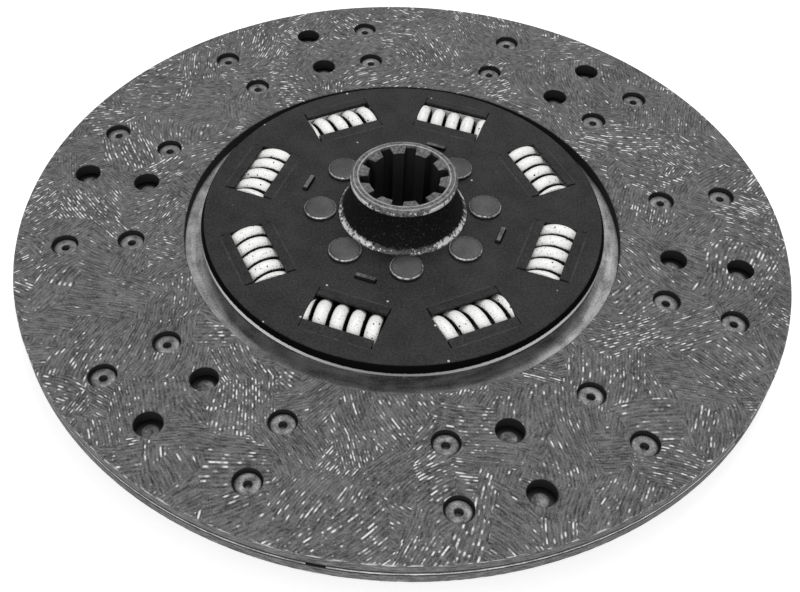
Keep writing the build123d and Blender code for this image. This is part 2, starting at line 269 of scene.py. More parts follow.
class SpringSettings(bpy.types.PropertyGroup):
    """Sizes and colours of the damper springs."""

    outer_radius: length_setting("Outer radius", "Radius over the coils", 13.7)
    wire_radius: length_setting("Wire radius", "Radius of the wire", 3.2)
    pitch: length_setting("Pitch", "Distance from coil to coil", 7.7)
    length: length_setting("Length", "Length over the ground ends", 32.8)
    paint: colour_setting("Paint", "Colour of the paint", "fafaf8")
    # Also laid as painted shade down the sides of the wire
    chips_and_side_shade: colour_setting("Chip", "Colour of the steel under the paint", "161616")


class HubSettings(bpy.types.PropertyGroup):
    """Sizes and colours of the hub, the covers and their rivets."""

    edge_round: length_setting("Edge round", "Rounding of the hub's edges", 0.35)
    head_radius: length_setting("Head radius", "Radius of the cover rivet heads", 7.4)
    head_height: length_setting("Head height", "Height of the rivet heads", COVER_HEAD_HEIGHT)
    shank_radius: length_setting("Shank radius", "Radius of the cover rivet shanks", 4.0)
    cover: colour_setting("Cover", "Colour of the blacked covers", "2e2e2e")
    forging: colour_setting("Forging", "Colour of the forged hub", "070707")
    # Colour of worn edges, also laid as painted highlight on the hub's edges and the rivet heads
    wear_and_glint: colour_setting("Worn steel", "Colour of bare worn edges", "ececec")
    rivet: colour_setting("Rivet", "Colour of the cover rivets", "4a4a4a")


# ---- Small tools ---------------------------------------------------------------------
def linear(code):
    """Linear RGBA of an sRGB hex colour."""
    parts = [int(code[at:at + 2], 16) / 255 for at in (0, 2, 4)]
    return tuple(
        part / 12.92 if part <= 0.04045 else ((part + 0.055) / 1.055) ** 2.4 for part in parts
    ) + (1.0,)


def add_node(tree, kind, inputs=None, **settings):
    """Add one node with its settings, and set or link its inputs."""
    made = tree.nodes.new(kind)
    for name, value in settings.items():
        setattr(made, name, value)
    for key, value in (inputs or {}).items():
        named = [socket for socket in made.inputs if socket.enabled and socket.name == key]
        socket = named[0] if named else made.inputs[key]
        if isinstance(value, bpy.types.Node):
            value = next(output for output in value.outputs if output.enabled)
        if isinstance(value, bpy.types.NodeSocket):
            tree.links.new(value, socket)
        else:
            socket.default_value = value
    return made


def new_material(name):
    """An empty node material, and a function that adds nodes to it."""
    made = bpy.data.materials.new(name)
    made.use_nodes = True
    made.node_tree.nodes.clear()
    return made, partial(add_node, made.node_tree)


def new_piece(bm, name, body, material, nodes, smooth=40):
    """Turn a bmesh in millimetres into a piece that stands for CAD nodes."""
    bmesh.ops.recalc_face_normals(bm, faces=bm.faces)
    bmesh.ops.scale(bm, vec=(MM, MM, MM), verts=bm.verts)
    for face in bm.faces:
        face.smooth = True
    for edge in bm.edges:
        edge.smooth = len(edge.link_faces) == 2 and edge.calc_face_angle() < radians(smooth)
    mesh = bpy.data.meshes.new(name)
    bm.to_mesh(mesh)
    bm.free()
    mesh.materials.append(material)
    piece = bpy.data.objects.new(name, mesh)
    bpy.context.scene.collection.objects.link(piece)
    piece.modifiers.new("flat_faces_stay_flat", "WEIGHTED_NORMAL").keep_sharp = True
    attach(piece, body)
    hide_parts(*nodes)
    return piece


def polar(radius, angle):
    """A point at a radius and an angle in degrees round the axis."""
    return Vector((radius * cos(radians(angle)), radius * sin(radians(angle)), 0.0))


def pair_places(count, first):
    """Centres of the rivets of one facing, on both rows."""
    angles = [first + 360 / count * step for step in range(count)]
    return [polar(row, angle) for row in (OUTER_RIVET_ROW, INNER_RIVET_ROW) for angle in angles]


def lathe(bm, profile, centre, steps):
    """Spin a (radius, z) profile round a vertical line through centre."""
    verts = [bm.verts.new(centre + Vector((radius, 0, z))) for radius, z in profile]
    edges = [bm.edges.new(pair) for pair in zip(verts, verts[1:])]
    bmesh.ops.spin(
        bm, geom=verts + edges, cent=centre, axis=(0, 0, 1), angle=tau, steps=steps,
        use_merge=True,
    )


def step_loop(bm, edges, centre, radius, steps):
    """Extrude a closed loop of edges through (radius, z) steps, and return the last loop."""
    for next_radius, z in steps:
        made = bmesh.ops.extrude_edge_only(bm, edges=edges)["geom"]
        verts = [item for item in made if isinstance(item, bmesh.types.BMVert)]
        edges = [
            item for item in made
            if isinstance(item, bmesh.types.BMEdge) and set(item.verts) <= set(verts)
        ]
        share = next_radius / radius
        to_centre = Matrix.Translation(-centre)
        bmesh.ops.scale(bm, vec=(share, share, 1), space=to_centre, verts=verts)
        bmesh.ops.translate(bm, vec=(0, 0, z - verts[0].co.z), verts=verts)
        radius = next_radius
    return edges


def ring_of_edges(bm, radius, centre, segments):
    """A circle of edges at a centre."""
    made = bmesh.ops.create_circle(
        bm, cap_ends=False, radius=radius, segments=segments, matrix=Matrix.Translation(centre)
    )
    return list({edge for vert in made["verts"] for edge in vert.link_edges})


def round_sharp_edges(bm, offset, above):
    """Bevel the edges whose faces meet at more than an angle in degrees."""
    picked = [
        edge for edge in bm.edges
        if len(edge.link_faces) == 2 and edge.calc_face_angle() > radians(above)
    ]
    bmesh.ops.bevel(
        bm, geom=picked, offset=offset, offset_type="OFFSET", segments=2, profile=0.5,
        affect="EDGES", clamp_overlap=False, material=-1,
    )


def copied_mesh(node):
    """The mesh of a CAD node as a bmesh in millimetres, with its flat faces whole again."""
    bm = bmesh.new()
    bm.from_mesh(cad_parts[node].data)
    bmesh.ops.scale(bm, vec=(1 / MM, 1 / MM, 1 / MM), verts=bm.verts)
    bmesh.ops.remove_doubles(bm, verts=bm.verts, dist=0.002)
    bmesh.ops.dissolve_limit(bm, angle_limit=radians(1), verts=bm.verts, edges=bm.edges)
    return bm


def spline_outline(grow):
    """Points round the splined bore, moved outward by a margin, in millimetres."""
    half = SPLINE_SLOT_WIDTH / 2 + grow
    minor = SPLINE_MINOR_RADIUS + grow
    major = SPLINE_MAJOR_RADIUS + grow
    tip = (minor ** 2 - half ** 2) ** 0.5
    root = (major ** 2 - half ** 2) ** 0.5
    slot = [(tip, -half), (root, -half), (major, 0), (root, half), (tip, half)]
    slot.append(tuple(polar(minor, 180 / SPLINE_SLOTS).xy))
    points = []
    for number in range(SPLINE_SLOTS):
        turn = Matrix.Rotation(radians(FIRST_SLOT + 360 / SPLINE_SLOTS * number), 3, "Z")
        points += [turn @ Vector((x, y, 0)) for x, y in slot]
    return points


def arc_through(start, middle, end, count):
    """Points of a (radius, z) arc from start to end that passes near middle."""
    start, middle, end = Vector(start), Vector(middle), Vector(end)
    control = 2 * middle - (start + end) / 2
    shares = [step / count for step in range(1, count)]
    return [
        tuple((1 - t) ** 2 * start + 2 * t * (1 - t) * control + t ** 2 * end) for t in shares
    ]


# ---- Finishes ------------------------------------------------------------------------
def in_millimetres(add):
    """Object coordinates in millimetres."""
    place = add("ShaderNodeTexCoord").outputs["Object"]
    return add("ShaderNodeVectorMath", {0: place, "Scale": 1 / MM}, operation="SCALE")


def round_the_axis(add):
    """Object coordinates in millimetres, with their split and their radius from the axis."""
    place = in_millimetres(add)
    split = add("ShaderNodeSeparateXYZ", {0: place})
    flat = add("ShaderNodeCombineXYZ", {0: split.outputs[0], 1: split.outputs[1]})
    radius = add("ShaderNodeVectorMath", {0: flat}, operation="LENGTH").outputs["Value"]
    return place, split, radius


def height_from_middle(add, split):
    """How far a place lies above or below the disc's middle."""
    height = add("ShaderNodeMath", {0: split.outputs[2], 1: MIDDLE}, operation="SUBTRACT")
    return add("ShaderNodeMath", {0: height}, operation="ABSOLUTE")


def glint_lobes(add, split):
    """The angle round the axis, and waves along it that crest where painted highlights gather on
    edges.
    """
    angle = add(
        "ShaderNodeMath", {0: split.outputs[1], 1: split.outputs[0]}, operation="ARCTAN2"
    )
    lobes = add(
        "ShaderNodeMath",
        {0: angle, 1: GLINT_CRESTS, 2: radians(-GLINT_CRESTS * GLINT_SIDE)},
        operation="MULTIPLY_ADD",
    )
    return angle, add("ShaderNodeMath", {0: lobes}, operation="COSINE")


def between(add, value, start, end, soft):
    """A mask that is 1 where a value lies between two bounds."""
    rise = add(
        "ShaderNodeMapRange",
        {"Value": value, "From Min": start - soft, "From Max": start + soft},
    )
    fall = add(
        "ShaderNodeMapRange", {"Value": value, "From Min": end + soft, "From Max": end - soft}
    )
    return add("ShaderNodeMath", {0: rise, 1: fall}, operation="MULTIPLY")


def joined(add, how, *masks):
    """Several masks as one: MULTIPLY keeps where all of them lie, MAXIMUM where any lies."""
    whole = masks[0]
    for mask in masks[1:]:
        whole = add("ShaderNodeMath", {0: whole, 1: mask}, operation=how)
    return whole


def laid_over(add, base, *coats):
    """A colour with coats of others over it, each where its mask is 1."""
    for mask, coat in coats:
        base, coat = (linear(tone) if isinstance(tone, str) else tone for tone in (base, coat))
        base = add("ShaderNodeMix", {"Factor": mask, "A": base, "B": coat}, data_type="RGBA")
    return base


def finished(material, add, looks, relief, strength, depth=0.2, invert=False):
    """Close a material with its shader, and a relief whose depth is in millimetres."""
    bump = add(
        "ShaderNodeBump", {"Strength": strength, "Distance": depth * MM, "Height": relief},
        invert=invert,
    )
    shader = add("ShaderNodeBsdfPrincipled", {**looks, "Normal": bump})
    add("ShaderNodeOutputMaterial", {"Surface": shader})
    return material


def yarn_layer(add, pushed, bent, seed, size):
    """One layer of wound yarn in patches of a size: its patches' chances, its bright dashes of
    cut wire and the relief of its strands."""
    moved = add("ShaderNodeVectorMath", {0: pushed, 1: (seed, seed, 0.0)}, operation="ADD")
    cell = add(
        "ShaderNodeTexVoronoi", {"Vector": moved, "Scale": 1 / size, "Randomness": 1.0},
        voronoi_dimensions="2D",
    )
    chance = add("ShaderNodeSeparateColor", {0: cell.outputs["Color"]})
    middle = add("ShaderNodeSeparateXYZ", {0: cell.outputs["Position"]})
    across, upward = (
        add("ShaderNodeMath", {0: middle.outputs[axis], 1: seed}, operation="SUBTRACT")
        for axis in (0, 1)
    )
    around = add("ShaderNodeMath", {0: upward, 1: across}, operation="ARCTAN2")
    turn = add(
        "ShaderNodeMapRange",
        {"Value": chance.outputs[1], "To Min": SHALLOWEST_TURN, "To Max": STEEPEST_TURN},
    )
    side = add("ShaderNodeMath", {0: chance.outputs[0], 1: 0.5}, operation="SUBTRACT")
    side = add("ShaderNodeMath", {0: side}, operation="SIGN")
    heading = add("ShaderNodeMath", {0: side, 1: turn, 2: around}, operation="MULTIPLY_ADD")
    heading = add("ShaderNodeMath", {0: heading, 1: pi / 2}, operation="ADD")
    back = add("ShaderNodeMath", {0: heading, 1: -1.0}, operation="MULTIPLY")
    turned = add(
        "ShaderNodeVectorRotate", {"Vector": bent, "Angle": back}, rotation_type="Z_AXIS"
    )
    along = add("ShaderNodeSeparateXYZ", {0: turned})

    strand = add(
        "ShaderNodeMath", {0: along.outputs[1], 1: STRAND_SPACING}, operation="DIVIDE"
    )
    number = add("ShaderNodeMath", {0: strand}, operation="FLOOR")
    inside = add("ShaderNodeMath", {0: strand}, operation="FRACT")
    centred = add("ShaderNodeMath", {0: inside, 1: 0.5}, operation="SUBTRACT")
    apart = add("ShaderNodeMath", {0: centred}, operation="ABSOLUTE")
    ridge = add(
        "ShaderNodeMapRange",
        {"Value": apart, "From Min": DASH_HALF_WIDTH + DASH_SOFTNESS,
         "From Max": DASH_HALF_WIDTH - DASH_SOFTNESS},
    )
    run = add("ShaderNodeMath", {0: along.outputs[0], 1: DASH_SPACING}, operation="DIVIDE")
    row = add("ShaderNodeMath", {0: number, 1: STRANDS_APART}, operation="MULTIPLY")
    own = add("ShaderNodeMath", {0: chance.outputs[0], 1: PATCHES_APART}, operation="MULTIPLY")
    key = add("ShaderNodeCombineXYZ", {0: run, 1: row, 2: own})
    beat = add("ShaderNodeTexNoise", {"Vector": key, "Scale": 1.0, "Detail": 1.0})
    rich = add("ShaderNodeMath", {0: chance.outputs[2], 1: RICH_PATCHES}, operation="POWER")
    limit = add(
        "ShaderNodeMapRange", {"Value": rich, "To Min": FEWEST_DASHES, "To Max": MOST_DASHES}
    )
    above = add("ShaderNodeMath", {0: beat, 1: limit}, operation="SUBTRACT")
    shape = add("ShaderNodeMapRange", {"Value": above, "From Max": 0.12})
    dash = add("ShaderNodeMath", {0: shape, 1: ridge}, operation="MULTIPLY")

    long_way = add(
        "ShaderNodeVectorMath",
        {0: turned, 1: (1 / STRAND_STREAK, 1 / STRAND_SPACING, 0.05)}, operation="MULTIPLY",
    )
    streak = add(
        "ShaderNodeTexNoise",
        {"Vector": long_way, "Scale": 1.3, "Detail": 3.0, "Roughness": 0.6},
    )
    groove = add("ShaderNodeMath", {0: ridge, 1: 0.27}, operation="MULTIPLY")
    groove = add("ShaderNodeMath", {0: beat, 1: groove}, operation="MULTIPLY")
    groove = add("ShaderNodeMath", {0: streak, 1: 1.25, 2: groove}, operation="MULTIPLY_ADD")
    return chance, dash, groove


def friction_composite(settings):
    """Moulded friction composite: matt resin over wound yarn. The yarn shows as patches of
    fine parallel strands that cross each other, with bright dashes where its wire was cut.
    Its edges show layers. Its hole walls, seats and bore wall, and its rim next to the seam
    between the facings, are darkened with painted shade."""
    material, add = new_material("moulded_friction_composite")
    place, split, radius = round_the_axis(add)
    swayed = []
    for scale, detail in ((0.07, 3.0), (0.025, 0.0)):
        sway = add("ShaderNodeTexNoise", {"Vector": place, "Scale": scale, "Detail": detail})
        swayed.append(
            add(
                "ShaderNodeVectorMath",
                {0: sway.outputs["Color"], 1: (YARN_SWAY, YARN_SWAY, 0.0), 2: place},
                operation="MULTIPLY_ADD",
            )
        )
    (_, dash_a, groove_a), (chance_b, dash_b, groove_b) = (
        yarn_layer(add, *swayed, seed, size)
        for seed, size in ((0.0, PATCH_SIZE), (40.0, PATCH_SIZE * 1.6))
    )
    over = add("ShaderNodeMath", {0: chance_b.outputs[2], 1: 0.55}, operation="GREATER_THAN")
    dash = add("ShaderNodeMix", {"Factor": over, "A": dash_a, "B": dash_b})
    groove = add("ShaderNodeMix", {"Factor": over, "A": groove_a, "B": groove_b})

    height = height_from_middle(add, split)
    face = RUB_TOP - MIDDLE
    rubbing_face_and_arch_highlight = add(
        "ShaderNodeMapRange", {"Value": height, "From Min": face - 0.45, "From Max": face - 0.2}
    )
    layered = add(
        "ShaderNodeVectorMath", {0: place, 1: (0.25, 0.25, 1.6)}, operation="MULTIPLY"
    )
    layer = add("ShaderNodeTexNoise", {"Vector": layered, "Scale": 1.0, "Detail": 3.0})
    layer = add("ShaderNodeMath", {0: layer, 1: 1.5, 2: -0.02}, operation="MULTIPLY_ADD")
    groove = add("ShaderNodeMix", {"Factor": rubbing_face_and_arch_highlight, "A": layer, "B": groove})
    broken = add(
        "ShaderNodeMapRange",
        {"Value": layer, "From Min": 0.74, "From Max": 0.86, "To Max": 0.6},
    )
    rim_side = add("ShaderNodeMath", {0: radius, 1: DISC_RADIUS - 0.5}, operation="GREATER_THAN")
    corner = between(add, height, face - 0.75, face - 0.1, 0.2)
    corner = joined(add, "MULTIPLY", corner, rim_side, broken)
    dash = add("ShaderNodeMath", {0: dash, 1: rubbing_face_and_arch_highlight}, operation="MULTIPLY")
    dash = add("ShaderNodeMath", {0: dash, 1: corner}, operation="MAXIMUM")
    # Painted shade: below the rubbing face inside the rim, and next to the seam, the composite is
    # darkened
    within = between(add, radius, 0, DISC_RADIUS - 0.6, 0.2)
    seam = between(add, height, 0, BACK_TOP - MIDDLE + 0.7, 0.2)
    hole_and_seam_shade = add("ShaderNodeMath", {0: 1.0, 1: rubbing_face_and_arch_highlight}, operation="SUBTRACT")
    hole_and_seam_shade = add("ShaderNodeMath", {0: hole_and_seam_shade, 1: within}, operation="MULTIPLY")
    hole_and_seam_shade = add("ShaderNodeMath", {0: hole_and_seam_shade, 1: seam}, operation="MAXIMUM")

    grit = add(
        "ShaderNodeTexNoise", {"Vector": place, "Scale": 1.5, "Detail": 2.0, "Roughness": 0.7}
    )
    cloud = add("ShaderNodeTexNoise", {"Vector": place, "Scale": 0.06, "Detail": 3.0})
    relief = add("ShaderNodeMath", {0: grit, 1: 0.8, 2: groove}, operation="MULTIPLY_ADD")
    relief = add("ShaderNodeMath", {0: cloud, 1: 0.3, 2: relief}, operation="MULTIPLY_ADD")
    shade = add("ShaderNodeMapRange", {"Value": relief, "From Min": 0.94, "From Max": 1.62})
    colour = laid_over(
        add, settings.ground, (shade, settings.yarn), (hole_and_seam_shade, HOLE_AND_SEAM_SHADE),
        (dash, settings.fleck),
    )
    raised = add("ShaderNodeMath", {0: dash, 1: 0.6, 2: relief}, operation="MULTIPLY_ADD")
    looks = {"Base Color": colour, "Roughness": 0.8, "Specular IOR Level": 0.3}
    return finished(material, add, looks, raised, 0.45, 0.4)


def blacked_sheet(settings):
    """Phosphated and oiled sheet steel: satin black with fine mottling, dust and a few pale
    motes. A painted highlight runs along the foot of each pressed arch, the drawn outer wall is
    darkened with painted shade, and a bright band of bare sheared steel at its lower edge carries
    a painted highlight that crests where the lobes do."""
    material, add = new_material("blacked_sheet_steel")
    place, split, radius = round_the_axis(add)
    cloud, grain, scuff = (
        add(
            "ShaderNodeTexNoise",
            {"Vector": place, "Scale": scale, "Detail": detail, "Roughness": rough},
        )
        for scale, detail, rough in ((0.09, 4.0, 0.5), (1.1, 3.0, 0.7), (0.4, 6.0, 0.75))
    )
    mote = add("ShaderNodeTexVoronoi", {"Vector": place, "Scale": 0.085, "Randomness": 1.0})
    mixed = add("ShaderNodeMath", {0: cloud, 1: 0.4, 2: grain}, operation="MULTIPLY_ADD")
    shade, dust, patchy, close = (
        add("ShaderNodeMapRange", {"Value": value, "From Min": none, "From Max": full})
        for value, none, full in (
            (mixed, 0.57, 0.84), (scuff, 0.62, 0.74), (scuff, 0.38, 0.62),
            (mote.outputs["Distance"], 0.055, 0.03),
        )
    )
    height = height_from_middle(add, split)
    angle, lobes = glint_lobes(add, split)

    # Painted highlight: a band of bare sheared steel along the lower edge of the drawn wall,
    # brighter and set higher where the lobes crest
    wavy = add("ShaderNodeMath", {0: lobes, 1: -0.5, 2: height}, operation="MULTIPLY_ADD")
    wavy = add("ShaderNodeMath", {0: grain, 1: 0.8, 2: wavy}, operation="MULTIPLY_ADD")
    sheared = COVER_INNER - MIDDLE + 0.7
    outermost = add(
        "ShaderNodeMath", {0: radius, 1: COVER_RADIUS - 0.6}, operation="GREATER_THAN"
    )
    lowest = between(add, wavy, sheared, sheared + 1.5, 0.15)
    bright = add("ShaderNodeMapRange", {"Value": lobes, "From Min": -1.0, "To Min": 0.45})
    sheared_glint_band = joined(add, "MULTIPLY", outermost, lowest, bright)

    angle = add("ShaderNodeMath", {0: angle, 1: radians(FIRST_SPRING)}, operation="SUBTRACT")
    angle = add(
        "ShaderNodeMath", {0: angle, 1: pi / SPRING_COUNT, 2: -pi / SPRING_COUNT},
        operation="WRAP",
    )
    outward, sideways = (
        joined(add, "MULTIPLY", radius, add("ShaderNodeMath", {0: angle}, operation=part))
        for part in ("COSINE", "SINE")
    )
    outward = add("ShaderNodeMath", {0: outward, 1: SPRING_CIRCLE}, operation="SUBTRACT")
    outward = add("ShaderNodeMath", {0: outward}, operation="ABSOLUTE")
    # Painted highlight along the foot of each pressed arch, broken up in patches and laid with the
    # dust
    foot = between(add, outward, BULGE_HALF_WIDTH - 0.4, BULGE_HALF_WIDTH + 0.1, 0.3)
    along = between(add, sideways, -SLIT_INNER_EDGE + 1, SLIT_INNER_EDGE - 1, 2.0)
    rubbing_face_and_arch_highlight = joined(add, "MULTIPLY", foot, along, patchy)
    pale = add("ShaderNodeMath", {0: dust, 1: rubbing_face_and_arch_highlight}, operation="MAXIMUM")
    # Painted shade on the drawn outer wall of each cover, which also loses its gloss there
    side = add("ShaderNodeMath", {0: height, 1: COVER_OUTER - MIDDLE - 0.3}, operation="LESS_THAN")
    drawn = add("ShaderNodeMath", {0: radius, 1: COVER_RADIUS - 3}, operation="GREATER_THAN")
    wall = add("ShaderNodeMath", {0: side, 1: drawn}, operation="MULTIPLY")

    colour = laid_over(
        add, OILED_BLACK, (shade, settings.cover), (pale, DUST_AND_ARCH_HIGHLIGHT), (close, PALE_MOTE),
        (wall, RIM_WALL_SHADE), (sheared_glint_band, SHEARED_EDGE_AND_GLINT),
    )
    matt = add("ShaderNodeMapRange", {"Value": scuff, "To Min": 0.5, "To Max": 0.7})
    gloss = add("ShaderNodeMapRange", {"Value": wall, "To Min": 0.2, "To Max": 0.03})
    looks = {"Base Color": colour, "Roughness": matt, "Specular IOR Level": gloss}
    return finished(material, add, looks, grain, 0.2)


def forged_steel(settings):
    """Forged hub: black scale with a few specks, mottled grey where the end and the collar
    were machined, and bright chipped spots along their edges, gathered as painted highlight
    where the lobes crest."""
    material, add = new_material("forged_and_worn_steel")
    place, split, radius = round_the_axis(add)
    level = split.outputs[2]
    grit, ragged, patch, nick = (
        add(
            "ShaderNodeTexNoise",
            {"Vector": place, "Scale": scale, "Detail": detail, "Roughness": rough},
        )
        for scale, detail, rough in (
            (1.3, 3.0, 0.75), (0.55, 5.0, 0.75), (0.07, 1.0, 0.5), (0.6, 2.5, 0.6)
        )
    )
    nudge = add("ShaderNodeMath", {0: ragged, 1: 5.0, 2: -2.5}, operation="MULTIPLY_ADD")
    uneven = add("ShaderNodeMath", {0: level, 1: nudge}, operation="ADD")
    outside = add("ShaderNodeMath", {0: radius, 1: MOUTH_RADIUS}, operation="GREATER_THAN")
    mouth = add(
        "ShaderNodeMapRange",
        {"Value": level, "From Min": HUB_TOP - MOUTH_DEPTH - 0.3,
         "From Max": HUB_TOP - MOUTH_DEPTH},
    )
    exposed = add("ShaderNodeMath", {0: outside, 1: mouth}, operation="MAXIMUM")
    edge_level = HUB_TOP - RIM_BEVEL
    end = between(add, level, edge_level - 1.5, HUB_TOP + 9, 0.25)
    end = add("ShaderNodeMath", {0: end, 1: exposed}, operation="MULTIPLY")
    collar_top = COVER_OUTER + COLLAR_STEP
    collar = between(add, uneven, collar_top - 2, collar_top + COLLAR_BEVEL - 0.4, 0.7)
    collar = add("ShaderNodeMath", {0: collar, 1: outside}, operation="MULTIPLY")
    foot = between(add, uneven, -40, 0.4, 0.4)
    machined = joined(add, "MAXIMUM", end, collar, foot)

    edges = (
        (RIM_RADIUS - RIM_BEVEL - 0.2, RIM_RADIUS - RIM_BEVEL + 0.2),
        (MOUTH_RADIUS - 0.25, MOUTH_RADIUS + 0.3),
    )
    turned_edge, mouth_edge = (
        joined(add, "MULTIPLY", between(add, radius, start, end, 0.15), mouth)
        for start, end in edges
    )
    mouth_edge = add("ShaderNodeMath", {0: mouth_edge, 1: turned_edge}, operation="MAXIMUM")
    mouth_edge = joined(add, "MULTIPLY", mouth_edge, ragged, 0.7)
    # Painted highlight: the chipped spots gather where the lobes crest
    _, lobes = glint_lobes(add, split)
    chip_and_glint_chance = add("ShaderNodeMath", {0: lobes, 1: 0.15, 2: patch}, operation="MULTIPLY_ADD")
    chip_and_glint_chance = add("ShaderNodeMath", {0: nick, 1: 1.6, 2: chip_and_glint_chance}, operation="MULTIPLY_ADD")
    mottle = add("ShaderNodeMath", {0: grit, 1: 0.8, 2: ragged}, operation="MULTIPLY_ADD")
    chip_and_glint_chance, speck, mottle = (
        add("ShaderNodeMapRange", {"Value": value, "From Min": none, "From Max": full})
        for value, none, full in (
            (chip_and_glint_chance, 1.25, 1.36), (grit, 0.58, 0.76), (mottle, 0.7, 1.15)
        )
    )
    outer_edge = between(add, level, edge_level - 1.5, edge_level + 0.25, 0.25)
    chips_and_glints = add("ShaderNodeMath", {0: outer_edge, 1: outside}, operation="MULTIPLY")
    chips_and_glints = add("ShaderNodeMath", {0: chips_and_glints, 1: collar}, operation="MAXIMUM")
    chips_and_glints = add("ShaderNodeMath", {0: chips_and_glints, 1: chip_and_glint_chance}, operation="MULTIPLY")
    chips_and_glints = add("ShaderNodeMath", {0: chips_and_glints, 1: mouth_edge}, operation="MAXIMUM")

    broached = add("ShaderNodeMath", {0: 1.0, 1: outside}, operation="SUBTRACT")
    turned = laid_over(add, TURNED_DARK, (mottle, TURNED_LIGHT))
    colour = laid_over(
        add, settings.forging, (speck, SCALE_SPECK), (broached, BROACHED_STEEL),
        (machined, turned), (chips_and_glints, settings.wear_and_glint),
    )
    metal = add("ShaderNodeMath", {0: machined, 1: 0.25}, operation="MULTIPLY")
    matt = add("ShaderNodeMapRange", {"Value": chips_and_glints, "To Min": 0.65, "To Max": 0.35})
    gloss = add("ShaderNodeMapRange", {"Value": machined, "To Min": 0.1, "To Max": 0.35})
    rough = add("ShaderNodeMath", {0: mottle, 1: 1.0, 2: chips_and_glints}, operation="MULTIPLY_ADD")
    looks = {
        "Base Color": colour, "Metallic": metal, "Roughness": matt, "Specular IOR Level": gloss
    }
    return finished(material, add, looks, rough, 0.5, 0.4)


def spring_paint(settings):
    """White enamel on the spring wire, with small chipped spots, pits and a little grime. The
    crests stay white; down the sides the dark colour of the chipped spots is laid as painted
    shade."""
    material, add = new_material("enamel_with_painted_shade")
    place = in_millimetres(add)
    cell = add("ShaderNodeTexVoronoi", {"Vector": place, "Scale": 0.42, "Randomness": 1.0})
    ragged, grime, pit = (
        add(
            "ShaderNodeTexNoise",
            {"Vector": place, "Scale": scale, "Detail": detail, "Roughness": rough},
        )
        for scale, detail, rough in ((0.9, 4.0, 0.7), (0.12, 5.0, 0.5), (1.5, 1.0, 0.5))
    )
    reach = add("ShaderNodeMath", {0: ragged, 1: 0.45}, operation="MULTIPLY")
    spread = add(
        "ShaderNodeMath", {0: cell.outputs["Distance"], 1: reach}, operation="SUBTRACT"
    )
    size = add("ShaderNodeSeparateColor", {0: cell.outputs["Color"]})
    limit = add(
        "ShaderNodeMapRange",
        {"Value": size, "From Min": 0.3, "From Max": 1.0, "To Min": -0.25, "To Max": 0.0},
    )
    chips_and_side_shade = add("ShaderNodeMath", {0: spread, 1: limit}, operation="LESS_THAN")
    # Painted shade: where the wire faces sideways or down, the paint gives way to the dark colour
    facing_up = add("ShaderNodeAttribute", attribute_name="light_from_above").outputs["Fac"]
    crest_light = add("ShaderNodeMath", {0: ragged, 1: 0.3, 2: facing_up}, operation="MULTIPLY_ADD")
    side_shade, dirty, pitted = (
        add(
            "ShaderNodeMapRange",
            {"Value": value, "From Min": none, "From Max": full, "To Max": most},
        )
        for value, none, full, most in (
            (crest_light, 0.58, 0.46, 1.0), (grime, 0.55, 0.8, 0.2), (pit, 0.62, 0.72, 0.8)
        )
    )
    chips_and_side_shade = add("ShaderNodeMath", {0: chips_and_side_shade, 1: side_shade}, operation="MAXIMUM")
    dirty = add("ShaderNodeMath", {0: dirty, 1: pitted}, operation="MAXIMUM")
    colour = laid_over(add, settings.paint, (dirty, GRIME), (chips_and_side_shade, settings.chips_and_side_shade))
    matt = add("ShaderNodeMapRange", {"Value": chips_and_side_shade, "To Min": 0.38, "To Max": 0.6})
    looks = {"Base Color": colour, "Roughness": matt}
    return finished(material, add, looks, chips_and_side_shade, 0.25, invert=True)


def bare_metal(name, light, dark, roughness, grain_size, patch_size):
    """Bare metal: grain of one size and stains of another in millimetres, between two tones."""
    material, add = new_material(name)
    place = in_millimetres(add)
    grain, patch = (
        add(
            "ShaderNodeTexNoise",
            {"Vector": place, "Scale": 1 / size, "Detail": detail, "Roughness": rough},
        )
        for size, detail, rough in ((grain_size, 3.0, 0.5), (patch_size, 5.0, 0.6))
    )
    mixed = add("ShaderNodeMath", {0: grain, 1: 0.5, 2: patch}, operation="MULTIPLY_ADD")
    shade = add("ShaderNodeMapRange", {"Value": mixed, "From Min": 0.55, "From Max": 0.95})
    matt = add(
        "ShaderNodeMapRange",
        {"Value": shade, "To Min": roughness + 0.16, "To Max": roughness},
    )
    colour = laid_over(add, dark, (shade, light))
    looks = {"Base Color": colour, "Metallic": 1.0, "Roughness": matt}
    return finished(material, add, looks, grain, 0.15)


def rivet_steel(settings):
    """Set rivet: dull dark steel, with a painted highlight round the edge of the head, broken up
    by grain.
    """
    material, add = new_material("set_rivet_steel")
    place = in_millimetres(add)
    split = add("ShaderNodeSeparateXYZ", {0: place})
    grain = add(
        "ShaderNodeTexNoise", {"Vector": place, "Scale": 0.8, "Detail": 4.0, "Roughness": 0.7}
    )
    patch = add("ShaderNodeTexNoise", {"Vector": place, "Scale": 0.1, "Detail": 3.0})
    mixed = add("ShaderNodeMath", {0: patch, 1: 1.2, 2: grain}, operation="MULTIPLY_ADD")
    shade = add("ShaderNodeMapRange", {"Value": mixed, "From Min": 0.85, "From Max": 1.45})
    # Painted highlight: a bright ring round the edge of each head, broken up by grain
    top = COVER_OUTER - MIDDLE + settings.head_height / MM
    edge = between(add, height_from_middle(add, split), top - 1.0, top - 0.3, 0.08)
    broken = add(
        "ShaderNodeMapRange",
        {"Value": grain, "From Min": 0.38, "From Max": 0.6, "To Max": 0.7},
    )
    edge = add("ShaderNodeMath", {0: edge, 1: broken}, operation="MULTIPLY")
    colour = laid_over(add, RIVET_DARK, (shade, settings.rivet), (edge, settings.wear_and_glint))
    looks = {"Base Color": colour, "Metallic": 0.7, "Roughness": 0.5}
    return finished(material, add, looks, grain, 0.2)


